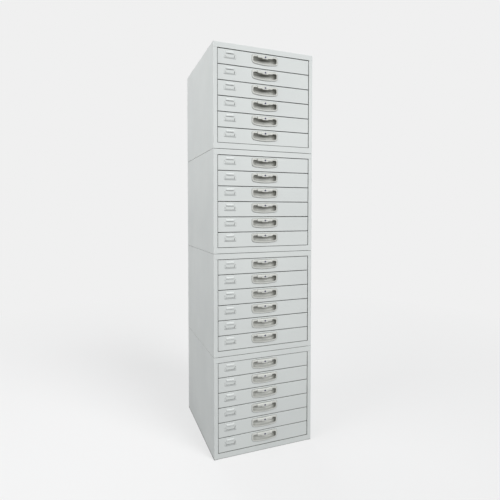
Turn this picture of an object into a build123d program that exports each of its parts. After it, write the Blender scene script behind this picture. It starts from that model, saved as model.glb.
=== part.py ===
from build123d import *
import os

# Tower of stacked sheet-steel cabinet units, each with a column of shallow drawers.
# Millimetres. X runs to the right, +Y to the back, +Z up. The origin is the middle of
# the bottom unit's underside, midway between the casing's front and back faces.

# ---- Tower ----
UNITS = 4
DRAWERS = 6  # in each unit
STACK_GAP = 1.0  # thickness of the washers that one unit stands on above another

# ---- Casing of one unit ----
WIDTH = 420.0
DEPTH = 460.0
PITCH = 59.0  # from one drawer to the next
TOP_RAIL = 20.75  # folded front edge of the top panel
BOTTOM_RAIL = 22.0  # folded front edge of the bottom panel
STILE = 16.0  # folded front edge of a side panel
SHEET = 1.0
RETURN = 12.0  # lip folded back behind each rail and stile
BACK_FLANGE = 15.0  # flange that the back panel is riveted to
FOLD_RADIUS = 1.5  # outside of a fold
EDGE_RADIUS = 0.6  # cut edge of a sheet
RAIL_SEAM = 0.3  # hairline between the top rail and the stile under it

# ---- Stacking bolts ----
BOLT_SPACING_X = 300.0
BOLT_SPACING_Y = 360.0
BOLT_RADIUS = 3.0
BOLT_HOLE_RADIUS = 3.5
BOLT_HEAD = 4.0
BOLT_THREAD_END = 2.0  # bolt left standing out of its nut
HEX_FLATS = 10.0
NUT_HEIGHT = 5.0
THREAD_PLAY = 0.05
WASHER_RADIUS = 9.0
WASHER_BORE_RADIUS = 3.2

# ---- Back panel rivets ----
RIVETS_UP_SIDE = 4
RIVETS_ACROSS = 2
RIVET_RADIUS = 1.6
RIVET_PLAY = 0.05
RIVET_HEAD_RADIUS = 3.3
RIVET_HEAD = 1.2
RIVET_DOME = 0.95  # rounding of the head's rim
RIVET_TAIL_RADIUS = 2.6
RIVET_TAIL = 2.0

# ---- Drawer front ----
FRONT_GAP = 2.5  # between two fronts, and under the top rail; half of it elsewhere round the opening
FRONT_RECESS = 1.5  # fronts sit this far behind the stiles
FRONT_DEPTH = 15.0
FRONT_SHEET = 1.0
FRONT_EDGE = 1.2  # rounding of the front's folded edges

# ---- Drawer tray ----
TRAY_SHEET = 1.0
TRAY_HEIGHT = 49.0
TRAY_RISE = 3.0  # tray's ledge above the front's lower edge
TRAY_SIDE_ROOM = 4.0  # from the tray's side to the edge of the stile
TRAY_FOLD = 0.9  # outside of the fold under a side
HEM_HEIGHT = 5.0
HEM_ROUND = 0.8
EAR_REACH = 11.0  # rear ears that meet the stops and keep the tray level
EAR_FOOT = 12.0  # underside of an ear above the tray's underside
TRAVEL = 340.0
SLIDE_PLAY = 0.3

# ---- Runners ----
RUNNER_SHEET = 1.2
RUNNER_SEAT = 0.05  # paint between a runner's flange and the casing
LEDGE = 9.0  # overlap under the tray
GUIDE_PLAY = 0.5  # beside the tray
GUIDE_HEIGHT = 6.0
RUNNER_FLANGE = 18.0
RUNNER_END_ROOM = 3.0
KICKER_FLANGE = 12.0
EAR_PLAY = 1.0  # under the ledge above
STOP_REACH = 12.0
STOP_FOOT = 10.0
STOP_HEIGHT = 12.0

# ---- Rear buffers ----
BUFFER_RADIUS = 6.0
BUFFER_LENGTH = 6.0
BUFFER_ROUND = 2.0
BUFFER_X = 150.0
BUFFER_HEIGHT = 24.0  # above the tray's underside

# ---- Pull ----
PULL_WIDTH = 108.0
PULL_TOP = 7.0  # below the middle of the gap above the front
PULL_SIDE_HEIGHT = 31.0
PULL_HEIGHT = 36.5  # at the bowed middle of its lower edge
PULL_LOWER_CORNER = 11.0
PULL_UPPER_CORNER = 5.0
BEZEL_RISE = 2.5
BEZEL_ROUND = 1.8
BEZEL_RIM = 4.5  # beside and under the pocket
BEZEL_TOP_RIM = 6.5
POCKET_DEPTH = 12.5  # behind the drawer front's face
POCKET_WALL = 1.4
POCKET_CORNER = 6.0
SCOOP_RADIUS = 8.0
APERTURE_PLAY = 0.4
LIP_WIDTH = 64.0
LIP_DROP = 11.0  # lower edge of the grip lip below the pull's top
LIP_RISE = 6.0
LIP_WALL = 1.8
LIP_CORNER = 4.0
LIP_CROWN = 5.0
BOSS_WIDTH = 30.0
BOSS_DROP = 14.0
BOSS_THICKNESS = 1.0
BOSS_CORNER = 6.0
LIP_ROUND = 0.8
DISC_RADIUS = 4.0
DISC_THICKNESS = 1.2
DISC_RISE = 0.6
DISC_ROUND = 0.3
DISC_RECESS_RADIUS = 3.4
DISC_RECESS = 0.5  # depth of the dish in the disc's face
DISC_DROP = 7.5  # middle of the disc below the pull's top
DISC_PLAY = 0.05
PILLAR_X = 38.0
PILLAR_DROP = 22.0
PILLAR_RADIUS = 4.0
SCREW_RADIUS = 1.95
SCREW_BORE_RADIUS = 2.0
SCREW_HOLE_RADIUS = 2.3
SCREW_HEAD_RADIUS = 4.0
SCREW_HEAD = 2.4
SCREW_DOME = 1.2  # rounding of the head's rim
SCREW_BORE_DEPTH = 3.0
SCREW_END_ROOM = 0.5

# ---- Label holder, pressed out of the front ----
LABEL_INSET = 25.0  # from the front's left edge
LABEL_WIDTH = 48.0
LABEL_TOP = 22.0  # upper ends of the side lips, below the gap's middle
LABEL_BOTTOM = 36.0
LABEL_RISE = 2.2
LABEL_SLOPE = 3.6
LABEL_FLAT = 1.2
LABEL_BREAK = 0.4
TAB_WIDTH = 35.0
TAB_TOP = 8.0
TAB_BOTTOM = 16.5
TAB_SLOPE = 4.0

# ---- Working ----
CUT_ROOM = 1.0  # by which a cutter runs past what it cuts
SAME_PLACE = 1e-4  # coordinates closer than this are the same

# ---- Worked out from the sizes above ----
UNIT_HEIGHT = TOP_RAIL + FRONT_GAP / 2 + DRAWERS * PITCH + BOTTOM_RAIL
HALF_WIDTH = WIDTH / 2
CASE_FRONT = -DEPTH / 2
CASE_BACK = DEPTH / 2
PANEL_BACK = CASE_BACK - SHEET  # inner face of the back panel
OPENING_HALF = HALF_WIDTH - STILE
FRONT_FACE = CASE_FRONT + FRONT_RECESS
FRONT_HALF = OPENING_HALF - FRONT_GAP / 2
TRAY_HALF = OPENING_HALF - TRAY_SIDE_ROOM
TRAY_FRONT = FRONT_FACE + FRONT_DEPTH
TRAY_BACK = PANEL_BACK - BUFFER_LENGTH - SLIDE_PLAY
LEDGE_HEIGHT = FRONT_GAP / 2 + TRAY_RISE  # above the middle of the gap under the drawer
TRAY_BOTTOM = LEDGE_HEIGHT + SLIDE_PLAY
EAR_TOP = LEDGE_HEIGHT + PITCH - RUNNER_SHEET - EAR_PLAY
GUIDE_FACE = TRAY_HALF + GUIDE_PLAY
WALL_FACE = HALF_WIDTH - SHEET  # inner face of a casing side
RUNNER_FACE = WALL_FACE - RUNNER_SEAT


def block(x, y, z):
    """A box between a low and a high limit on each axis."""
    corner = Pos(x[0], y[0], z[0])
    return corner * Box(x[1] - x[0], y[1] - y[0], z[1] - z[0], align=(Align.MIN,) * 3)


def rod(radius, start, length, direction):
    """A cylinder that begins at a point and runs along a direction."""
    return Plane(origin=start, z_dir=direction) * Cylinder(
        radius, length, align=(Align.CENTER, Align.CENTER, Align.MIN)
    )


def edges_at(part, axis, x=None, y=None, z=None):
    """Straight edges parallel to an axis whose middle has the given coordinates."""
    wanted = [("X", x), ("Y", y), ("Z", z)]
    return [
        edge
        for edge in part.edges().filter_by(axis)
        if all(v is None or abs(getattr(edge.center(), k) - v) < SAME_PLACE for k, v in wanted)
    ]


def bolt_places():
    """The four stacking-bolt positions in plan."""
    return [
        (sx * BOLT_SPACING_X / 2, sy * BOLT_SPACING_Y / 2) for sx in (-1, 1) for sy in (-1, 1)
    ]


def unit_base(unit):
    """Underside height of a unit; unit 1 is at the top."""
    return (UNITS - unit) * (UNIT_HEIGHT + STACK_GAP)


def gap_under(drawer):
    """Middle of the gap under a drawer above its unit's underside; drawer 1 is at the top."""
    return BOTTOM_RAIL + (DRAWERS - drawer) * PITCH


# ---- Casing ----


def rivet_places():
    """Rivet positions on the back panel, as (x, z), halfway across the flanges."""
    inset = BACK_FLANGE / 2
    rise = (UNIT_HEIGHT - 2 * BACK_FLANGE) / RIVETS_UP_SIDE
    across = WIDTH / (RIVETS_ACROSS + 1)
    sides = [
        (side * (HALF_WIDTH - inset), BACK_FLANGE + rise * (i + 0.5))
        for side in (-1, 1)
        for i in range(RIVETS_UP_SIDE)
    ]
    ends = [
        (-HALF_WIDTH + across * (i + 1), z)
        for i in range(RIVETS_ACROSS)
        for z in (inset, UNIT_HEIGHT - inset)
    ]
    return sides + ends


def rivet_holes():
    """Cutter for every rivet hole of one unit."""
    start = PANEL_BACK - SHEET - CUT_ROOM
    length = 2 * (SHEET + CUT_ROOM)
    return [
        rod(RIVET_RADIUS + RIVET_PLAY, (x, start, z), length, (0, 1, 0)) for x, z in rivet_places()
    ]


def bolt_holes(z):
    """Cutters for the four stacking holes through the sheet at a height."""
    start, length = z - CUT_ROOM, SHEET + 2 * CUT_ROOM
    return [rod(BOLT_HOLE_RADIUS, (x, y, start), length, (0, 0, 1)) for x, y in bolt_places()]


def top_panel():
    """Top sheet with its front rail, the rail's lip and the flange at the back."""
    top, rail_foot = UNIT_HEIGHT, UNIT_HEIGHT - TOP_RAIL
    whole, inside = (-HALF_WIDTH, HALF_WIDTH), (-WALL_FACE, WALL_FACE)
    panel = block(whole, (CASE_FRONT, PANEL_BACK), (top - SHEET, top))
    panel += block(whole, (CASE_FRONT, CASE_FRONT + SHEET), (rail_foot, top))
    panel += block(inside, (CASE_FRONT, CASE_FRONT + RETURN), (rail_foot, rail_foot + SHEET))
    panel += block(inside, (PANEL_BACK - SHEET, PANEL_BACK), (top - BACK_FLANGE, top))
    panel = fillet(edges_at(panel, Axis.X, y=CASE_FRONT, z=top), FOLD_RADIUS)
    sides = [e for s in (-1, 1) for e in edges_at(panel, Axis.Y, x=s * HALF_WIDTH, z=top)]
    panel = fillet(sides, EDGE_RADIUS)
    return panel - bolt_holes(top - SHEET) - rivet_holes()


def side_panel(top):
    """Right side with its stile, the stile's lip and the flange at the back, cut to fit the top."""
    stile_top = UNIT_HEIGHT - TOP_RAIL - RAIL_SEAM
    stile_edge = HALF_WIDTH - STILE
    wall = block((WALL_FACE, HALF_WIDTH), (CASE_FRONT, PANEL_BACK), (0, UNIT_HEIGHT - SHEET))
    wall -= block(
        (WALL_FACE, HALF_WIDTH), (CASE_FRONT, CASE_FRONT + SHEET), (stile_top, UNIT_HEIGHT)
    )
    panel = wall + block((stile_edge, HALF_WIDTH), (CASE_FRONT, CASE_FRONT + SHEET), (0, stile_top))
    panel += block((stile_edge, stile_edge + SHEET), (CASE_FRONT, CASE_FRONT + RETURN), (0, stile_top))
    panel += block(
        (HALF_WIDTH - BACK_FLANGE, HALF_WIDTH),
        (PANEL_BACK - SHEET, PANEL_BACK),
        (BACK_FLANGE, UNIT_HEIGHT - BACK_FLANGE),
    )
    panel = fillet(edges_at(panel, Axis.Z, x=HALF_WIDTH, y=CASE_FRONT), FOLD_RADIUS)
    return panel - top - rivet_holes()


def bottom_panel(sides):
    """Bottom sheet with its front rail, the rail's lip and the flange at the back."""
    inside = (-WALL_FACE, WALL_FACE)
    between = (-OPENING_HALF, OPENING_HALF)
    panel = block(inside, (CASE_FRONT + SHEET, PANEL_BACK), (0, SHEET))
    panel += block(between, (CASE_FRONT, CASE_FRONT + SHEET), (0, BOTTOM_RAIL))
    panel += block(between, (CASE_FRONT, CASE_FRONT + RETURN), (BOTTOM_RAIL - SHEET, BOTTOM_RAIL))
    panel += block(inside, (PANEL_BACK - SHEET, PANEL_BACK), (0, BACK_FLANGE))
    panel = fillet(edges_at(panel, Axis.X, y=CASE_FRONT, z=0), FOLD_RADIUS)
    return panel - sides - bolt_holes(0) - rivet_holes()


def back_panel():
    """Flat back sheet, riveted onto the flanges."""
    panel = block((-HALF_WIDTH, HALF_WIDTH), (PANEL_BACK, CASE_BACK), (0, UNIT_HEIGHT))
    return panel - rivet_holes()


def unit_casing():
    """The five sheets of one unit."""
    top = top_panel()
    right = side_panel(top)
    left = mirror(right, about=Plane.YZ)
    bottom = bottom_panel([left, right])
    return [left, right, top, bottom, back_panel()]


def rivet(x, z):
    """One blind rivet: domed head behind the back panel, shank, and tail inside the flange."""
    inner = PANEL_BACK - SHEET
    dome = Plane(origin=(x, CASE_BACK, z), z_dir=(0, 1, 0)) * Cylinder(
        RIVET_HEAD_RADIUS, RIVET_HEAD, align=(Align.CENTER, Align.CENTER, Align.MIN)
    )
    dome = fillet(edges_round_end(dome, CASE_BACK + RIVET_HEAD), RIVET_DOME)
    shank = rod(RIVET_RADIUS, (x, inner, z), 2 * SHEET, (0, 1, 0))
    tail = rod(RIVET_TAIL_RADIUS, (x, inner - RIVET_TAIL, z), RIVET_TAIL, (0, 1, 0))
    return dome + shank + tail


def edges_round_end(part, y):
    """Round edges that lie in the plane at a depth."""
    circles = part.edges().filter_by(GeomType.CIRCLE)
    return [edge for edge in circles if abs(edge.center().Y - y) < SAME_PLACE]


def stacking_set(x, y, seam):
    """Bolt, nut and washer at one seam between two units; seam is the lower unit's top."""
    upper = seam + STACK_GAP + SHEET
    lower = seam - SHEET
    length = upper - lower + NUT_HEIGHT + BOLT_THREAD_END
    head = Pos(x, y, upper) * extrude(RegularPolygon(HEX_FLATS / 2, 6, major_radius=False), BOLT_HEAD)
    bolt = head + rod(BOLT_RADIUS, (x, y, upper), length, (0, 0, -1))
    nut = Pos(x, y, lower - NUT_HEIGHT) * extrude(
        RegularPolygon(HEX_FLATS / 2, 6, major_radius=False), NUT_HEIGHT
    )
    nut -= rod(BOLT_RADIUS + THREAD_PLAY, (x, y, lower), NUT_HEIGHT, (0, 0, -1))
    washer = rod(WASHER_RADIUS, (x, y, seam), STACK_GAP, (0, 0, 1))
    washer -= rod(WASHER_BORE_RADIUS, (x, y, seam), STACK_GAP, (0, 0, 1))
    return [bolt, nut, washer]


# ---- Runners, kickers and buffers ----


def runner():
    """Right-hand runner: ledge under the tray, guide step beside it, flange on the casing wall."""
    ledge_edge = TRAY_HALF - LEDGE
    run = (TRAY_FRONT + RUNNER_END_ROOM, PANEL_BACK - SHEET - RUNNER_END_ROOM)
    shelf = LEDGE_HEIGHT + GUIDE_HEIGHT
    guide_back = GUIDE_FACE + RUNNER_SHEET
    piece = block((ledge_edge, guide_back), run, (LEDGE_HEIGHT - RUNNER_SHEET, LEDGE_HEIGHT))
    piece += block((GUIDE_FACE, guide_back), run, (LEDGE_HEIGHT - RUNNER_SHEET, shelf))
    flange = (RUNNER_FACE - RUNNER_SHEET, RUNNER_FACE)
    piece += block((GUIDE_FACE, RUNNER_FACE), run, (shelf - RUNNER_SHEET, shelf))
    piece += block(flange, run, (shelf, shelf + RUNNER_FLANGE))
    ear_face = TRAY_BACK - TRAY_SHEET
    stop = ear_face - TRAVEL - SLIDE_PLAY
    foot = TRAY_BOTTOM + STOP_FOOT
    across = (RUNNER_FACE - STOP_REACH, RUNNER_FACE)
    return piece + block(across, (stop - RUNNER_SHEET, stop), (foot, foot + STOP_HEIGHT))


def kicker():
    """Right-hand rail over the top drawer, which keeps its ears down as a runner above would."""
    run = (TRAY_FRONT + RUNNER_END_ROOM, PANEL_BACK - SHEET - RUNNER_END_ROOM)
    top = LEDGE_HEIGHT + PITCH
    piece = block((TRAY_HALF - LEDGE, RUNNER_FACE), run, (top - RUNNER_SHEET, top))
    return piece + block((RUNNER_FACE - RUNNER_SHEET, RUNNER_FACE), run, (top, top + KICKER_FLANGE))


def unit_runners():
    """Every runner and kicker of one unit."""
    pieces = [Pos(0, 0, gap_under(n)) * runner() for n in range(1, DRAWERS + 1)]
    pieces.append(Pos(0, 0, gap_under(1)) * kicker())
    return pieces + [mirror(piece, about=Plane.YZ) for piece in pieces]


def buffers(unit):
    """The rubber buffers of one unit, two behind each drawer, stuck to the back panel."""
    pieces = []
    for n in range(1, DRAWERS + 1):
        z = unit_base(unit) + gap_under(n) + TRAY_BOTTOM + BUFFER_HEIGHT
        for side in (-1, 1):
            piece = rod(BUFFER_RADIUS, (side * BUFFER_X, PANEL_BACK, z), BUFFER_LENGTH, (0, -1, 0))
            pieces.append(fillet(edges_round_end(piece, PANEL_BACK - BUFFER_LENGTH), BUFFER_ROUND))
    return pieces


# ---- Drawer, with its heights above the middle of the gap under it ----


def on_front(shape):
    """Puts a drawing in the plane of the drawer front's face, its +Y pointing up."""
    return Plane(origin=(0, FRONT_FACE, 0), x_dir=(1, 0, 0), z_dir=(0, -1, 0)) * shape


def rectangle(middle, half_width, low, high):
    """An upright rectangle centred on a width."""
    return Pos(middle, (low + high) / 2) * Rectangle(2 * half_width, high - low)


def pressed_shell(base, crest):
    """Sheet pressed out of the front between an outline on the face and one at the lips' rise."""
    mound = loft([on_front(base), Pos(0, -LABEL_RISE, 0) * on_front(crest)])
    mound = chamfer(mound.faces().sort_by(Axis.Y)[0].edges(), LABEL_BREAK)
    solid = mound + extrude(on_front(base), -FRONT_SHEET)
    return solid - Pos(0, FRONT_SHEET, 0) * solid


def through_front(drawing):
    """A cutter through the front's face, from in front of the pressed lips to behind the sheet."""
    length = LABEL_RISE + FRONT_SHEET + 2 * CUT_ROOM
    return Pos(0, -LABEL_RISE - CUT_ROOM, 0) * extrude(on_front(drawing), -length)


def label_holder():
    """The holder's pressed lips and the slots that they leave in the sheet: a U that carries a
    card at its sides and foot, and a tab over the card's top."""
    middle = -FRONT_HALF + LABEL_INSET + LABEL_WIDTH / 2
    foot, arms, over = PITCH - LABEL_BOTTOM, PITCH - LABEL_TOP, PITCH - LABEL_TOP + LABEL_BOTTOM
    wide = LABEL_WIDTH / 2
    lips = pressed_shell(
        rectangle(middle, wide, foot, over),
        rectangle(middle, wide - LABEL_SLOPE, foot + LABEL_SLOPE, over),
    )
    inner = LABEL_SLOPE + LABEL_FLAT
    lips -= through_front(rectangle(middle, wide - inner, foot + inner, over))
    lips -= through_front(rectangle(middle, wide + inner, arms, over + inner))
    slots = through_front(rectangle(middle, wide, foot, arms))
    slots -= through_front(rectangle(middle, wide - inner, foot + inner, over))
    high, low = PITCH - TAB_TOP, PITCH - TAB_BOTTOM
    under = low - (high - low)
    half = TAB_WIDTH / 2
    tab = pressed_shell(
        rectangle(middle, half, under, high),
        rectangle(middle, half - TAB_SLOPE, under, high - TAB_SLOPE),
    )
    tab -= through_front(rectangle(middle, wide, under - TAB_SLOPE, low))
    return [lips, tab], [slots, through_front(rectangle(middle, half, low, high))]


def front_panel():
    """Folded front: face and four returns, pull aperture, pressed label holder."""
    low, high = FRONT_GAP / 2, PITCH - FRONT_GAP / 2
    outer = block((-FRONT_HALF, FRONT_HALF), (FRONT_FACE, TRAY_FRONT), (low, high))
    outer = fillet(outer.faces().sort_by(Axis.Y)[0].edges(), FRONT_EDGE)
    inner = block(
        (-FRONT_HALF + FRONT_SHEET, FRONT_HALF - FRONT_SHEET),
        (FRONT_FACE + FRONT_SHEET, TRAY_FRONT),
        (low + FRONT_SHEET, high - FRONT_SHEET),
    )
    panel = outer - inner
    lips, slots = label_holder()
    panel = panel - slots + lips
    aperture = on_front(pocket_outline(POCKET_WALL + APERTURE_PLAY))
    return panel - extrude(aperture, -FRONT_SHEET)


def tray():
    """Five welded sheets: floor, two hemmed sides, front wall, back wall with an ear at each end."""
    low, high, rear = TRAY_BOTTOM, TRAY_BOTTOM + TRAY_HEIGHT, TRAY_BACK - TRAY_SHEET
    inner, rim = TRAY_HALF - TRAY_SHEET, TRAY_HALF + TRAY_SHEET
    inside, run, over_floor = (-inner, inner), (TRAY_FRONT, rear), (low + TRAY_SHEET, high)
    floor = block(inside, run, (low, low + TRAY_SHEET))
    right = block((inner, TRAY_HALF), run, (low, high))
    right += block((inner, rim), run, (high - HEM_HEIGHT, high))
    right = fillet(edges_at(right, Axis.Y, x=TRAY_HALF, z=low), TRAY_FOLD)
    right = fillet([edges_at(right, Axis.Y, x=x, z=high)[0] for x in (inner, rim)], HEM_ROUND)
    wall = block(inside, (TRAY_FRONT, TRAY_FRONT + TRAY_SHEET), over_floor)
    for x, z in pillar_places():
        wall -= rod(SCREW_HOLE_RADIUS, (x, TRAY_FRONT, z), TRAY_SHEET, (0, 1, 0))
    back = block((-TRAY_HALF, TRAY_HALF), (rear, TRAY_BACK), (low, high))
    for side in (-1, 1):
        across = sorted((side * inner, side * (TRAY_HALF + EAR_REACH)))
        back += block(across, (rear, TRAY_BACK), (low + EAR_FOOT, EAR_TOP))
    return [floor, right, mirror(right, about=Plane.YZ), wall, back]


# ---- Pull ----


def pull_outline(rim, top_rim, upper_corner):
    """The pull's outline drawn in by a rim: bowed lower edge, rounded corners."""
    half = PULL_WIDTH / 2 - rim
    top = PITCH - PULL_TOP - top_rim
    side_foot = PITCH - PULL_TOP - PULL_SIDE_HEIGHT + rim
    foot = PITCH - PULL_TOP - PULL_HEIGHT + rim
    bow = ThreePointArc((-half, side_foot), (0, foot), (half, side_foot))
    sides = Polyline((half, side_foot), (half, top), (-half, top), (-half, side_foot))
    face = make_face([bow, *sides.edges()])
    face = fillet(face.vertices().group_by(Axis.Y)[0], PULL_LOWER_CORNER - rim)
    return fillet(face.vertices().group_by(Axis.Y)[-1], upper_corner)


def pocket_outline(growth):
    """The pocket's mouth, grown outwards all round."""
    corner = POCKET_CORNER + growth
    return pull_outline(BEZEL_RIM - growth, BEZEL_TOP_RIM - growth, corner)


def pillar_places():
    """The pull's two screw pillars, as (x, z)."""
    return [(side * PILLAR_X, PITCH - PULL_TOP - PILLAR_DROP) for side in (-1, 1)]


def tongue(width, drop, corner, rise, crown):
    """A block that hangs from the pull's top edge: rounded lower corners, crowned upper edge."""
    top = PITCH - PULL_TOP
    face = rectangle(0, width / 2, top - drop, top)
    face = fillet(face.vertices().group_by(Axis.Y)[0], corner)
    solid = extrude(on_front(face), rise)
    solid = fillet(edges_at(solid, Axis.X, y=FRONT_FACE - rise, z=top), crown)
    return fillet(edges_at(solid, Axis.X, y=FRONT_FACE - rise, z=top - drop), LIP_ROUND)


def grip():
    """Grip lip over the pocket with the boss on its middle, hollow behind and open below."""
    top = PITCH - PULL_TOP
    lip = tongue(LIP_WIDTH, LIP_DROP, LIP_CORNER, LIP_RISE, LIP_CROWN)
    boss = tongue(BOSS_WIDTH, BOSS_DROP, BOSS_CORNER, LIP_RISE + BOSS_THICKNESS, LIP_CROWN)
    foot = top - max(LIP_DROP, BOSS_DROP) - CUT_ROOM
    behind = rectangle(0, LIP_WIDTH / 2 - LIP_WALL, foot, top - LIP_WALL)
    room = extrude(on_front(behind), LIP_RISE - LIP_WALL)
    crown = edges_at(room, Axis.X, y=FRONT_FACE - LIP_RISE + LIP_WALL, z=top - LIP_WALL)
    return lip + boss - fillet(crown, LIP_CROWN - LIP_WALL)


def pull_body():
    """Cast pull: bezel, pocket behind it, grip over the pocket, pillars for its screws."""
    bezel = extrude(on_front(pull_outline(0, 0, PULL_UPPER_CORNER)), BEZEL_RISE)
    bezel = fillet(bezel.faces().sort_by(Axis.Y)[0].edges(), BEZEL_ROUND)
    shell = extrude(on_front(pocket_outline(POCKET_WALL)), -POCKET_DEPTH)
    mouth = on_front(pocket_outline(0))
    hollow = extrude(mouth, -(POCKET_DEPTH - POCKET_WALL))
    hollow = fillet(hollow.faces().sort_by(Axis.Y)[-1].edges(), SCOOP_RADIUS)
    body = bezel + shell - (hollow + extrude(mouth, BEZEL_RISE)) + grip()
    pocket_back = FRONT_FACE + POCKET_DEPTH
    for x, z in pillar_places():
        body += rod(PILLAR_RADIUS, (x, pocket_back, z), TRAY_FRONT - pocket_back, (0, 1, 0))
        body -= rod(SCREW_BORE_RADIUS, (x, TRAY_FRONT, z), SCREW_BORE_DEPTH, (0, -1, 0))
    return body - rod(DISC_RADIUS + DISC_PLAY, disc_seat(), LIP_RISE, (0, -1, 0))


def disc_seat():
    """Middle of the disc's back face."""
    front = FRONT_FACE - LIP_RISE - BOSS_THICKNESS
    return (0, front + DISC_THICKNESS - DISC_RISE, PITCH - PULL_TOP - DISC_DROP)


def disc():
    """Round inlay in the boss, dished inside its rim."""
    x, seat, z = disc_seat()
    face = seat - DISC_THICKNESS
    piece = rod(DISC_RADIUS, (x, seat, z), DISC_THICKNESS, (0, -1, 0))
    piece = fillet(edges_round_end(piece, face), DISC_ROUND)
    return piece - rod(DISC_RECESS_RADIUS, (x, face + DISC_RECESS, z), DISC_RECESS, (0, -1, 0))


def pull_screw(x, z):
    """Pan-head screw from inside the tray into one of the pull's pillars."""
    seat = TRAY_FRONT + TRAY_SHEET
    head = rod(SCREW_HEAD_RADIUS, (x, seat, z), SCREW_HEAD, (0, 1, 0))
    head = fillet(edges_round_end(head, seat + SCREW_HEAD), SCREW_DOME)
    length = TRAY_SHEET + SCREW_BORE_DEPTH - SCREW_END_ROOM
    return head + rod(SCREW_RADIUS, (x, seat, z), length, (0, -1, 0))


def drawer_pieces():
    """Tray and front of a drawer."""
    return [*tray(), front_panel()]


def pull_pieces():
    """A pull with its inlay and screws."""
    return [pull_body(), disc()] + [pull_screw(x, z) for x, z in pillar_places()]


# ---- Files ----


def write(name, pieces, z=0):
    """Writes one node's STEP file from its solids, raised to a height."""
    export_step(Compound([Pos(0, 0, z) * piece for piece in pieces]), f"parts/{name}.step")


def main():
    """Writes every node."""
    os.makedirs("parts", exist_ok=True)
    casing, runners = unit_casing(), unit_runners()
    drawer, pull = drawer_pieces(), pull_pieces()
    number = 0
    for unit in range(1, UNITS + 1):
        write(f"unit_{unit}_casing", casing, unit_base(unit))
        write(f"unit_{unit}_runners", runners, unit_base(unit))
        for place in range(1, DRAWERS + 1):
            number += 1
            z = unit_base(unit) + gap_under(place)
            write(f"drawer_{number:02}", drawer, z)
            write(f"pull_{number:02}", pull, z)
    seams = [unit_base(unit) + UNIT_HEIGHT for unit in range(2, UNITS + 1)]
    write("stacking_bolts", [p for s in seams for x, y in bolt_places() for p in stacking_set(x, y, s)])
    rivets = [rivet(x, z) for x, z in rivet_places()]
    units = range(1, UNITS + 1)
    write("back_panel_rivets", [Pos(0, 0, unit_base(u)) * piece for u in units for piece in rivets])
    write("drawer_buffers", [piece for u in units for piece in buffers(u)])


main()
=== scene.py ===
"""Finishes, fittings, studio and camera of a flat file tower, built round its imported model.

Everything is in metres in the model's own frame: +Z up, drawers opening towards -Y, floor at z = 0.
"""

import logging
import math
from dataclasses import dataclass
from enum import Enum

import bmesh
import bpy
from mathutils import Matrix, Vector


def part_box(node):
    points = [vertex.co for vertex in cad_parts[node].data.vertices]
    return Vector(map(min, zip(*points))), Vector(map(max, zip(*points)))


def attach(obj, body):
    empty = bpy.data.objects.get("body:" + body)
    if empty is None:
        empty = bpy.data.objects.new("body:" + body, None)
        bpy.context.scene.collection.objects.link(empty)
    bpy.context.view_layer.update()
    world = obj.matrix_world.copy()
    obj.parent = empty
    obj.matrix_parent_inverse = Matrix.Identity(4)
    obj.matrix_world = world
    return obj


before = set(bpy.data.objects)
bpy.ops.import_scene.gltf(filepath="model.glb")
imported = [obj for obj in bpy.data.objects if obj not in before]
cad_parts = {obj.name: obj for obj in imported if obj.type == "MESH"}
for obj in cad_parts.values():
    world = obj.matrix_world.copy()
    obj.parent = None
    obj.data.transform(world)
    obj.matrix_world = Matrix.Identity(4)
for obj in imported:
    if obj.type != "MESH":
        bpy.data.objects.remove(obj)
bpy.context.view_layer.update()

MM = 0.001
log = logging.getLogger("flat_file_tower")


class Family(Enum):
    """Kinds of CAD node, by how their names begin."""

    DRAWER = "drawer_"
    PULL = "pull_"
    UNIT = "unit_"


class Slot(Enum):
    """A material slot of the record."""

    PULL = "satin_zinc"


# ---- Shader building ----


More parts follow.
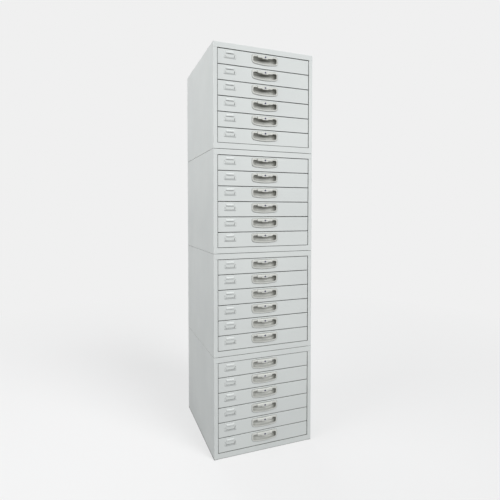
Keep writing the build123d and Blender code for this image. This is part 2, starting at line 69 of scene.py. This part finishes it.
class Shader:
    """A material's node tree with a Principled surface, and short calls that add to it."""

    def __init__(self, name: str) -> None:
        """Makes an empty material.

        Args:
            name: Name of the material.
        """
        self.material = bpy.data.materials.new(name)
        self.material.use_nodes = True
        self.tree = self.material.node_tree
        self.tree.nodes.clear()
        self.output = self.add("ShaderNodeOutputMaterial")
        self.surface = self.add("ShaderNodeBsdfPrincipled")
        self.join(self.surface.outputs["BSDF"], self.output.inputs["Surface"])
        self.place = self.add("ShaderNodeTexCoord").outputs["Object"]

    def add(self, kind: str, **settings: object) -> bpy.types.ShaderNode:
        """Adds a node.

        Args:
            kind: Blender's type name of the node.
            **settings: Properties to set on it.

        Returns:
            The new node.
        """
        node = self.tree.nodes.new(kind)
        for key, value in settings.items():
            setattr(node, key, value)
        return node

    def join(self, source: bpy.types.NodeSocket, target: bpy.types.NodeSocket) -> None:
        """Links an output to an input."""
        self.tree.links.new(source, target)

    def set(self, **values: float) -> None:
        """Sets plain numbers on the surface; Coat_Weight stands for the socket Coat Weight."""
        for key, value in values.items():
            self.surface.inputs[key.replace("_", " ")].default_value = value

    def noise(self, scale: float, detail: float = 3.0, rough: float = 0.5,
              stretch: tuple[float, float, float] = (1.0, 1.0, 1.0)) -> bpy.types.NodeSocket:
        """Adds a noise pattern.

        Args:
            scale: Cells to the metre.
            detail: Octaves.
            rough: Weight of the finer octaves.
            stretch: Factor on the scale along each axis.

        Returns:
            The pattern, from 0 to 1.
        """
        mapping = self.add("ShaderNodeMapping")
        mapping.inputs["Scale"].default_value = stretch
        self.join(self.place, mapping.inputs["Vector"])
        node = self.add("ShaderNodeTexNoise")
        node.inputs["Scale"].default_value = scale
        node.inputs["Detail"].default_value = detail
        node.inputs["Roughness"].default_value = rough
        self.join(mapping.outputs["Vector"], node.inputs["Vector"])
        return node.outputs["Fac"]

    def cells(self, scale: float) -> bpy.types.NodeSocket:
        """Adds a pattern of flat cells, each with its own shade.

        Args:
            scale: Cells to the metre.

        Returns:
            The pattern's colour.
        """
        node = self.add("ShaderNodeTexVoronoi")
        node.inputs["Scale"].default_value = scale
        self.join(self.place, node.inputs["Vector"])
        return node.outputs["Color"]

    def remap(self, value: bpy.types.NodeSocket, low: float, high: float,
              to_low: float, to_high: float) -> bpy.types.NodeSocket:
        """Moves a value from one range to another and clamps it.

        Args:
            value: The value to move.
            low: Start of the range it has.
            high: End of the range it has.
            to_low: Start of the range it gets.
            to_high: End of the range it gets.

        Returns:
            The moved value.
        """
        node = self.add("ShaderNodeMapRange")
        self.join(value, node.inputs["Value"])
        for key, number in (("From Min", low), ("From Max", high), ("To Min", to_low), ("To Max", to_high)):
            node.inputs[key].default_value = number
        return node.outputs["Result"]

    def blend(self, share: bpy.types.NodeSocket, first: object, second: object) -> bpy.types.NodeSocket:
        """Mixes two colours.

        Args:
            share: How much of the second shows, from 0 to 1.
            first: A colour tuple or a socket.
            second: A colour tuple or a socket.

        Returns:
            The mixed colour.
        """
        node = self.add("ShaderNodeMix", data_type="RGBA")
        self.join(share, node.inputs["Factor"])
        for key, colour in (("A", first), ("B", second)):
            socket = next(s for s in node.inputs if s.name == key and s.type == "RGBA")
            if isinstance(colour, tuple):
                socket.default_value = (*colour, 1.0)
            else:
                self.join(colour, socket)
        return next(s for s in node.outputs if s.type == "RGBA")

    def edges(self, radius: float) -> bpy.types.NodeSocket:
        """Finds edges by how far a rounded normal leaves the true one.

        Args:
            radius: Reach of the rounding, in metres.

        Returns:
            1 on edges and 0 on open faces.
        """
        bevel = self.add("ShaderNodeBevel", samples=4)
        bevel.inputs["Radius"].default_value = radius
        normal = self.add("ShaderNodeNewGeometry").outputs["Normal"]
        dot = self.add("ShaderNodeVectorMath", operation="DOT_PRODUCT")
        self.join(bevel.outputs["Normal"], dot.inputs[0])
        self.join(normal, dot.inputs[1])
        return self.remap(dot.outputs["Value"], 1.0, 0.8, 0.0, 1.0)

    def crevices(self, reach: float, open_from: float, full_at: float) -> bpy.types.NodeSocket:
        """Finds corners, gaps and slots, where dirt settles and where painted shade is laid.

        Args:
            reach: How far a wall still shades the surface, in metres.
            open_from: Share of open sky above which a surface is unmarked.
            full_at: Share of open sky below which it is fully marked.

        Returns:
            1 deep in a crevice and 0 in the open.
        """
        node = self.add("ShaderNodeAmbientOcclusion", samples=8)
        node.inputs["Distance"].default_value = reach
        return self.remap(node.outputs["AO"], open_from, full_at, 0.0, 1.0)

    def shelter(self, reach: float, towards: tuple[float, float, float], open_from: float,
                full_at: float) -> bpy.types.NodeSocket:
        """Finds places that a lip or a wall screens on one side, to lay painted shade on.

        Args:
            reach: How far a wall still screens the surface, in metres.
            towards: The side that the painted light comes from.
            open_from: Share of open sky on that side above which a surface is unshaded.
            full_at: Share of open sky below which it is wholly screened.

        Returns:
            1 where the surface is screened and 0 where it is open.
        """
        node = self.add("ShaderNodeAmbientOcclusion", samples=16)
        node.inputs["Distance"].default_value = reach
        lean = self.add("ShaderNodeVectorMath", operation="ADD")
        self.join(self.add("ShaderNodeNewGeometry").outputs["Normal"], lean.inputs[0])
        lean.inputs[1].default_value = Vector(towards).normalized()
        unit = self.add("ShaderNodeVectorMath", operation="NORMALIZE")
        self.join(lean.outputs["Vector"], unit.inputs[0])
        self.join(unit.outputs["Vector"], node.inputs["Normal"])
        return self.remap(node.outputs["AO"], open_from, full_at, 0.0, 1.0)

    def upright(self) -> bpy.types.NodeSocket:
        """Finds faces that look to the left or right.

        Returns:
            1 on them and 0 on the others.
        """
        parts = self.add("ShaderNodeSeparateXYZ")
        self.join(self.add("ShaderNodeNewGeometry").outputs["Normal"], parts.inputs["Vector"])
        size = self.add("ShaderNodeMath", operation="ABSOLUTE")
        self.join(parts.outputs["X"], size.inputs[0])
        return self.remap(size.outputs["Value"], 0.25, 0.65, 0.0, 1.0)

    def times(self, first: bpy.types.NodeSocket, second: bpy.types.NodeSocket) -> bpy.types.NodeSocket:
        """Multiplies two values.

        Args:
            first: A value.
            second: Another value.

        Returns:
            Their product.
        """
        node = self.add("ShaderNodeMath", operation="MULTIPLY")
        self.join(first, node.inputs[0])
        self.join(second, node.inputs[1])
        return node.outputs["Value"]

    def relief(self, layers: list[tuple[bpy.types.NodeSocket, float]]) -> None:
        """Puts bump patterns one over another on the surface.

        Args:
            layers: Each pattern with its full height in metres.
        """
        normal = None
        for pattern, height in layers:
            bump = self.add("ShaderNodeBump")
            bump.inputs["Distance"].default_value = height
            self.join(pattern, bump.inputs["Height"])
            if normal is not None:
                self.join(normal, bump.inputs["Normal"])
            normal = bump.outputs["Normal"]
        self.join(normal, self.surface.inputs["Normal"])


# ---- Finishes ----


@dataclass(frozen=True)
class PowderCoat:
    """Light grey semi-matt powder coat with its faint orange peel, worn edges, dusty specks and corners,
    and painted shade in its gaps, slots and side gaps.
    """

    name: str = "powder_coat"
    colour: tuple[float, float, float] = (0.70, 0.727, 0.714)
    shade: tuple[float, float, float] = (0.668, 0.694, 0.684)
    edge: tuple[float, float, float] = (0.76, 0.78, 0.77)
    # Grey of the dusty specks, and of the painted shade, partly dirt, in corners and gaps.
    dust_and_shade: tuple[float, float, float] = (0.44, 0.45, 0.44)
    # Dark grey of the painted shade in narrow slots.
    pressed_shade: tuple[float, float, float] = (0.20, 0.21, 0.20)
    # Near black of the painted shade in the side gaps.
    side_gap_shade: tuple[float, float, float] = (0.050, 0.052, 0.050)
    cloud_scale: float = 3.5
    speck_scale: float = 900.0
    dust_and_shade_reach: float = 9 * MM
    dust_and_shade_sky: tuple[float, float] = (0.85, 0.25)
    pressed_shade_reach: float = 3 * MM
    pressed_shade_sky: tuple[float, float] = (0.96, 0.62)
    side_gap_shade_reach: float = 12 * MM
    side_gap_shade_sky: tuple[float, float] = (0.85, 0.45)
    edge_radius: float = 0.7 * MM
    specular: float = 0.42
    rough: float = 0.46
    rough_swing: float = 0.07
    smear_scale: float = 22.0
    wave_scale: float = 9.0
    wave_height: float = 0.6 * MM
    peel_scale: float = 420.0
    peel_height: float = 0.03 * MM
    grain_scale: float = 2600.0
    grain_height: float = 0.008 * MM

    def material(self) -> bpy.types.Material:
        """Builds the coat.

        Returns:
            The coat's material.
        """
        s = Shader(self.name)
        clouds = s.noise(self.cloud_scale, 4.0)
        colour = s.blend(s.remap(clouds, 0.35, 0.65, 0.0, 1.0), self.colour, self.shade)
        specks = s.remap(s.noise(self.speck_scale, 2.0), 0.70, 0.78, 0.0, 0.35)
        colour = s.blend(specks, colour, self.dust_and_shade)
        # Painted shade, partly dirt: occlusion darkens corners and gaps towards the dusty grey.
        colour = s.blend(s.crevices(self.dust_and_shade_reach, *self.dust_and_shade_sky), colour, self.dust_and_shade)
        # Painted shade: narrow slots, such as the label holders' lips and the pulls' borders, darkened to a
        # dark grey.
        colour = s.blend(s.crevices(self.pressed_shade_reach, *self.pressed_shade_sky), colour, self.pressed_shade)
        # Painted shade: deep gaps on faces that look left or right, the drawers' side gaps, darkened to
        # near black.
        side_gap_shade_mask = s.times(s.crevices(self.side_gap_shade_reach, *self.side_gap_shade_sky), s.upright())
        colour = s.blend(side_gap_shade_mask, colour, self.side_gap_shade)
        colour = s.blend(s.edges(self.edge_radius), colour, self.edge)
        s.join(colour, s.surface.inputs["Base Color"])
        smear = s.noise(self.smear_scale, 5.0, 0.6, (1.0, 1.0, 0.4))
        low, high = self.rough - self.rough_swing, self.rough + self.rough_swing
        s.join(s.remap(smear, 0.3, 0.7, low, high), s.surface.inputs["Roughness"])
        s.relief([(s.noise(self.wave_scale, 2.0), self.wave_height),
                  (s.noise(self.peel_scale, 1.0), self.peel_height),
                  (s.noise(self.grain_scale, 2.0), self.grain_height)])
        s.set(Specular_IOR_Level=self.specular)
        return s.material


@dataclass(frozen=True)
class CastZinc:
    """Satin die-cast zinc: tumbled grain, brighter where hands polish it, with painted shade under the lip
    in the pocket.
    """

    name: str = "satin_zinc"
    colour: tuple[float, float, float] = (0.63, 0.64, 0.605)
    worn: tuple[float, float, float] = (0.71, 0.72, 0.70)
    # Colour of the painted shade under the lip in the pocket.
    dark: tuple[float, float, float] = (0.190, 0.190, 0.165)
    metal: float = 0.30
    tumble_scale: float = 160.0
    pocket_reach: float = 22 * MM
    pocket_sky: tuple[float, float] = (0.68, 0.30)
    lit_side: tuple[float, float, float] = (0.35, -0.45, 0.85)
    rough: tuple[float, float] = (0.30, 0.46)
    edge_radius: float = 0.9 * MM
    gloss_scale: float = 420.0
    grain_scale: float = 1500.0
    grain_height: float = 0.02 * MM
    dimple_scale: float = 300.0
    dimple_height: float = 0.04 * MM

    def material(self) -> bpy.types.Material:
        """Builds the metal.

        Returns:
            The metal's material.
        """
        s = Shader(self.name)
        tumble = s.noise(self.tumble_scale, 5.0, 0.65)
        colour = s.blend(s.remap(tumble, 0.35, 0.65, 0.0, 0.25), self.colour, self.worn)
        # Painted shade: where the lip and walls screen the pocket from the upper right, it is darkened to a
        # dark olive grey, standing for the lip's shadow.
        pocket = s.shelter(self.pocket_reach, self.lit_side, *self.pocket_sky)
        colour = s.blend(pocket, colour, self.dark)
        colour = s.blend(s.edges(self.edge_radius), colour, self.worn)
        s.join(colour, s.surface.inputs["Base Color"])
        gloss = s.remap(s.noise(self.gloss_scale, 4.0), 0.3, 0.7, *self.rough)
        s.join(gloss, s.surface.inputs["Roughness"])
        s.relief([(s.noise(self.grain_scale, 3.0), self.grain_height),
                  (s.noise(self.dimple_scale, 2.0), self.dimple_height)])
        s.set(Metallic=self.metal)
        return s.material


@dataclass(frozen=True)
class Enamel:
    """Dark violet-blue glass enamel with a clear coat, a little cloudy and scratched."""

    name: str = "blue_enamel"
    colour: tuple[float, float, float] = (0.030, 0.022, 0.085)
    cloud: tuple[float, float, float] = (0.055, 0.045, 0.14)
    cloud_scale: float = 700.0
    scratch_scale: float = 2400.0
    rough: tuple[float, float] = (0.14, 0.30)
    coat: float = 0.4
    coat_rough: float = 0.12
    ripple_scale: float = 900.0
    ripple_height: float = 0.02 * MM

    def material(self) -> bpy.types.Material:
        """Builds the enamel.

        Returns:
            The enamel's material.
        """
        s = Shader(self.name)
        clouds = s.noise(self.cloud_scale, 3.0)
        s.join(s.blend(clouds, self.colour, self.cloud), s.surface.inputs["Base Color"])
        scratches = s.remap(s.noise(self.scratch_scale, 3.0), 0.3, 0.7, *self.rough)
        s.join(scratches, s.surface.inputs["Roughness"])
        s.relief([(s.noise(self.ripple_scale, 2.0), self.ripple_height)])
        s.set(Coat_Weight=self.coat, Coat_Roughness=self.coat_rough)
        return s.material


@dataclass(frozen=True)
class Galvanised:
    """Zinc-coated strip with its crystal spangle, worn bright along the slide."""

    name: str = "galvanised_steel"
    light: tuple[float, float, float] = (0.60, 0.62, 0.64)
    dark: tuple[float, float, float] = (0.40, 0.42, 0.44)
    metal: float = 0.9
    rough: float = 0.42
    rough_swing: float = 0.1
    spangle_scale: float = 130.0
    scratch_scale: float = 260.0
    grain_scale: float = 800.0
    grain_height: float = 0.02 * MM

    def material(self) -> bpy.types.Material:
        """Builds the strip.

        Returns:
            The strip's material.
        """
        s = Shader(self.name)
        cells = s.cells(self.spangle_scale)
        shade = s.add("ShaderNodeRGBToBW")
        s.join(cells, shade.inputs["Color"])
        colour = s.blend(shade.outputs["Val"], self.dark, self.light)
        scratches = s.noise(self.scratch_scale, 3.0, 0.5, (1.0, 0.03, 1.0))
        colour = s.blend(s.remap(scratches, 0.58, 0.72, 0.0, 0.5), colour, self.light)
        s.join(colour, s.surface.inputs["Base Color"])
        low, high = self.rough - self.rough_swing, self.rough + self.rough_swing
        s.join(s.remap(shade.outputs["Val"], 0.2, 0.8, low, high), s.surface.inputs["Roughness"])
        s.relief([(s.noise(self.grain_scale, 3.0), self.grain_height)])
        s.set(Metallic=self.metal)
        return s.material


@dataclass(frozen=True)
class Rubber:
    """Matt black rubber with a mould bloom."""

    name: str = "black_rubber"
    colour: tuple[float, float, float] = (0.016, 0.016, 0.017)
    bloom: tuple[float, float, float] = (0.050, 0.050, 0.050)
    bloom_scale: float = 90.0
    gloss_scale: float = 300.0
    rough: tuple[float, float] = (0.62, 0.82)
    grain_scale: float = 1300.0
    grain_height: float = 0.05 * MM

    def material(self) -> bpy.types.Material:
        """Builds the rubber.

        Returns:
            The rubber's material.
        """
        s = Shader(self.name)
        bloom = s.noise(self.bloom_scale, 5.0)
        s.join(s.blend(bloom, self.colour, self.bloom), s.surface.inputs["Base Color"])
        gloss = s.remap(s.noise(self.gloss_scale, 2.0), 0.3, 0.7, *self.rough)
        s.join(gloss, s.surface.inputs["Roughness"])
        s.relief([(s.noise(self.grain_scale, 3.0), self.grain_height)])
        return s.material


# ---- Mesh building ----


def turned(name: str, profile: list[tuple[float, float]], steps: int = 40) -> bpy.types.Mesh:
    """Turns a profile round an axis that runs along -Y.

    Args:
        name: Name of the mesh.
        profile: Points from the rim to the middle, each a radius and how far it stands out.
        steps: Sides of the turned form.

    Returns:
        The new mesh, its axis through the origin.
    """
    mesh = bpy.data.meshes.new(name)
    bm = bmesh.new()
    rings = []
    for radius, out in profile:
        turns = [2 * math.pi * i / steps for i in range(steps)]
        rings.append([bm.verts.new((radius * math.cos(a), -out, radius * math.sin(a))) for a in turns])
    for outer, inner in zip(rings, rings[1:]):
        for i in range(steps):
            j = (i + 1) % steps
            bm.faces.new((outer[i], outer[j], inner[j], inner[i]))
    bm.faces.new(rings[-1])
    bm.faces.new(list(reversed(rings[0])))
    bmesh.ops.recalc_face_normals(bm, faces=bm.faces)
    for face in bm.faces:
        face.smooth = True
    bm.to_mesh(mesh)
    bm.free()
    return mesh


# ---- Sub-assemblies ----


def nodes_of(family: Family) -> list[bpy.types.Object]:
    """Finds the CAD nodes of a family.

    Args:
        family: The family.

    Returns:
        Its nodes, in order of name.
    """
    return [o for n, o in sorted(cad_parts.items()) if n.startswith(family.value)]


def dress(piece: bpy.types.Object, material: bpy.types.Material) -> None:
    """Gives every face of a piece one material.

    Args:
        piece: The piece to dress.
        material: What it is dressed in.
    """
    for slot in piece.material_slots:
        slot.link = "OBJECT"
        slot.material = material
    log.info("%s: %s", piece.name, material.name)


@dataclass
class Casing:
    """The stacked casings with their runners, bolts, rivets and buffers."""

    paint: bpy.types.Material
    strip: bpy.types.Material
    rubber: bpy.types.Material

    def build(self) -> None:
        """Dresses the nodes of the fixed body."""
        for node in nodes_of(Family.UNIT):
            dress(node, self.strip if node.name.endswith("runners") else self.paint)
        dress(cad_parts["stacking_bolts"], self.strip)
        dress(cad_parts["back_panel_rivets"], self.paint)
        dress(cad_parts["drawer_buffers"], self.rubber)


@dataclass
class Drawers:
    """The moving drawers, each a painted front and tray with a cast pull and its inlay."""

    paint: bpy.types.Material
    zinc: bpy.types.Material
    enamel: bpy.types.Material
    inlay_radius: float = 3.3 * MM
    inlay_floor: float = 0.5 * MM
    inlay_crown: float = 0.46 * MM
    inlay_drop: float = 7.5 * MM
    inlay_rim: float = 0.4
    inlay_angles: tuple[float, ...] = (0, 15, 30, 45, 60, 75, 86)

    def inlay_profile(self) -> list[tuple[float, float]]:
        """Draws the section of the domed inlay.

        Returns:
            Points from its rim to its middle, each a radius and how far it stands out.
        """
        profile = [(self.inlay_radius, 0.0)]
        for angle in map(math.radians, self.inlay_angles):
            rise = self.inlay_rim + (1 - self.inlay_rim) * math.sin(angle)
            profile.append((self.inlay_radius * math.cos(angle), self.inlay_crown * rise))
        return profile

    def inlays(self) -> None:
        """Sets a domed inlay in the dished disc of every pull."""
        mesh = turned("pull_inlay", self.inlay_profile())
        mesh.materials.append(self.enamel)
        for pull in nodes_of(Family.PULL):
            number = pull.name.removeprefix(Family.PULL.value)
            low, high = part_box(pull.name)
            piece = bpy.data.objects.new(f"pull_inlay_{number}", mesh)
            piece.location = ((low[0] + high[0]) / 2, low[1] + self.inlay_floor, high[2] - self.inlay_drop)
            bpy.context.scene.collection.objects.link(piece)
            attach(piece, f"drawer_body_{number}")
            log.info("%s: %s", piece.name, self.enamel.name)

    def build(self) -> None:
        """Dresses every drawer and sets the inlays."""
        for node in nodes_of(Family.DRAWER):
            if node.name != "drawer_buffers":
                dress(node, self.paint)
        for node in nodes_of(Family.PULL):
            dress(node, self.zinc)
        self.inlays()


# ---- Studio ----


def hang(light: bpy.types.Light, towards: Vector,
         place: tuple[float, float, float] = (0.0, 0.0, 0.0)) -> None:
    """Hangs a light that doesn't show in gloss.

    Args:
        light: The light.
        towards: Direction that it shines in.
        place: Where it hangs.
    """
    lamp = bpy.data.objects.new(light.name, light)
    lamp.visible_glossy = False
    lamp.location = place
    lamp.rotation_euler = towards.to_track_quat("-Z", "Y").to_euler()
    bpy.context.scene.collection.objects.link(lamp)
    log.info("%s lamp hung", light.name)


@dataclass(frozen=True)
class FarLamp:
    """A far, soft lamp.

    Attributes:
        name: Name of the lamp.
        origin: Direction from the object to the lamp.
        spread: Angle that the lamp fills, in degrees.
        power: Light that it throws on a square metre, in watts.
    """

    name: str
    origin: tuple[float, float, float]
    spread: float
    power: float

    def build(self) -> None:
        """Makes the lamp and hangs it."""
        light = bpy.data.lights.new(self.name, "SUN")
        light.angle, light.energy = math.radians(self.spread), self.power
        hang(light, -Vector(self.origin))


@dataclass(frozen=True)
class SquareLamp:
    """A square soft lamp.

    Attributes:
        name: Name of the lamp.
        place: Where it hangs.
        size: Its side.
        power: Its power in watts.
        aim: Where it points.
        spread: Angle that its grid lets through, in degrees.
    """

    name: str
    place: tuple[float, float, float]
    size: float
    power: float
    aim: tuple[float, float, float]
    spread: float

    def build(self) -> None:
        """Makes the lamp and hangs it."""
        light = bpy.data.lights.new(self.name, "AREA")
        light.shape, light.size, light.energy = "SQUARE", self.size, self.power
        light.spread = math.radians(self.spread)
        hang(light, Vector(self.aim) - Vector(self.place), self.place)


@dataclass
class Studio:
    """Pale floor that fades into an even backdrop, soft lamps and the camera."""

    backdrop: float = 0.871
    floor_reach: float = 30.0
    floor_albedo: float = 0.27
    floor_glow: float = 0.59
    floor_bounce: float = 0.16
    floor_rough: float = 0.9
    fade_from: float = 0.9
    fade_to: float = 3.0
    ambient: float = 0.36
    ambient_tint: tuple[float, float, float] = (0.96, 0.98, 1.0)
    lamps: tuple[FarLamp | SquareLamp, ...] = (
        FarLamp("key", (0.32, -0.69, 0.64), 30.0, 1.80),
        FarLamp("back", (-0.03, 0.86, 0.50), 40.0, 0.75),
        SquareLamp("upper", (1.0, -2.7, 2.2), 1.4, 3.7, (0.0, 0.0, 1.15), 60.0),
        SquareLamp("fill", (-2.8, -0.6, 2.6), 2.2, 29.0, (0.0, 0.0, 1.35), 120.0),
    )
    camera_place: tuple[float, float, float] = (-0.6186, -1.7057, 0.9577)
    camera_dip: float = 0.0337
    camera_turn: float = -0.3603
    camera_film: float = 36.0
    camera_lens: float = 29.09
    camera_shift: float = -0.0491

    def floor(self) -> None:
        """Lays the floor."""
        mesh = bpy.data.meshes.new("floor")
        bm = bmesh.new()
        bmesh.ops.create_grid(bm, x_segments=8, y_segments=8, size=self.floor_reach)
        bm.to_mesh(mesh)
        bm.free()
        floor = bpy.data.objects.new("floor", mesh)
        bpy.context.scene.collection.objects.link(floor)
        s = Shader("floor_paint")
        s.set(Roughness=self.floor_rough, Specular_IOR_Level=0.0)
        path = s.add("ShaderNodeLightPath")
        seen = s.add("ShaderNodeMath", operation="MAXIMUM")
        s.join(path.outputs["Is Camera Ray"], seen.inputs[0])
        s.join(path.outputs["Is Glossy Ray"], seen.inputs[1])
        length = s.add("ShaderNodeVectorMath", operation="LENGTH")
        s.join(s.place, length.inputs[0])
        reach = length.outputs["Value"]
        far = s.remap(reach, self.fade_from, self.fade_to, 0.0, 1.0)
        lit = s.blend(far, (self.floor_albedo,) * 3, (0.0, 0.0, 0.0))
        colour = s.blend(seen.outputs["Value"], (self.floor_bounce,) * 3, lit)
        s.join(colour, s.surface.inputs["Base Color"])
        glow = s.remap(reach, self.fade_from, self.fade_to, self.floor_glow, self.backdrop)
        s.join(s.times(glow, seen.outputs["Value"]), s.surface.inputs["Emission Strength"])
        s.surface.inputs["Emission Color"].default_value = (1.0, 1.0, 1.0, 1.0)
        mesh.materials.append(s.material)
        log.info("floor: %s", s.material.name)

    def world(self) -> None:
        """Sets the ambient light, and the even backdrop that the camera and gloss see."""
        world = bpy.data.worlds.new("studio")
        bpy.context.scene.world = world
        world.use_nodes = True
        tree = world.node_tree
        tree.nodes.clear()
        output = tree.nodes.new("ShaderNodeOutputWorld")
        path = tree.nodes.new("ShaderNodeLightPath")
        seen = tree.nodes.new("ShaderNodeMath")
        seen.operation = "MAXIMUM"
        tree.links.new(path.outputs["Is Camera Ray"], seen.inputs[0])
        also = tree.nodes.new("ShaderNodeMath")
        also.operation = "MAXIMUM"
        tree.links.new(path.outputs["Is Glossy Ray"], also.inputs[0])
        tree.links.new(path.outputs["Is Transmission Ray"], also.inputs[1])
        tree.links.new(also.outputs["Value"], seen.inputs[1])
        dim = tree.nodes.new("ShaderNodeBackground")
        dim.inputs["Color"].default_value = (*self.ambient_tint, 1.0)
        dim.inputs["Strength"].default_value = self.ambient
        bright = tree.nodes.new("ShaderNodeBackground")
        bright.inputs["Color"].default_value = (self.backdrop,) * 3 + (1.0,)
        mix = tree.nodes.new("ShaderNodeMixShader")
        tree.links.new(seen.outputs["Value"], mix.inputs["Fac"])
        tree.links.new(dim.outputs["Background"], mix.inputs[1])
        tree.links.new(bright.outputs["Background"], mix.inputs[2])
        tree.links.new(mix.outputs["Shader"], output.inputs["Surface"])

    def camera(self) -> None:
        """Sets the camera a little left of the fronts and above half height, looking slightly down."""
        data = bpy.data.cameras.new("camera")
        data.sensor_width, data.lens, data.shift_y = self.camera_film, self.camera_lens, self.camera_shift
        camera = bpy.data.objects.new("camera", data)
        camera.location = self.camera_place
        camera.rotation_euler = (math.pi / 2 - self.camera_dip, 0.0, self.camera_turn)
        bpy.context.scene.collection.objects.link(camera)
        bpy.context.scene.camera = camera

    def build(self) -> None:
        """Sets the whole studio."""
        bpy.context.scene.view_settings.view_transform = "Standard"
        self.floor()
        self.world()
        for lamp in self.lamps:
            lamp.build()
        self.camera()


def main() -> None:
    """Builds every sub-assembly in order."""
    logging.basicConfig(level=logging.INFO, format="%(message)s")
    paint, zinc, strip = PowderCoat().material(), CastZinc().material(), Galvanised().material()
    Casing(paint, strip, Rubber().material()).build()
    log.info("casings dressed")
    Drawers(paint, zinc, Enamel().material()).build()
    log.info("drawers dressed, with their pulls and inlays")
    Studio().build()
    log.info("studio set")


if __name__ == "__main__":
    main()
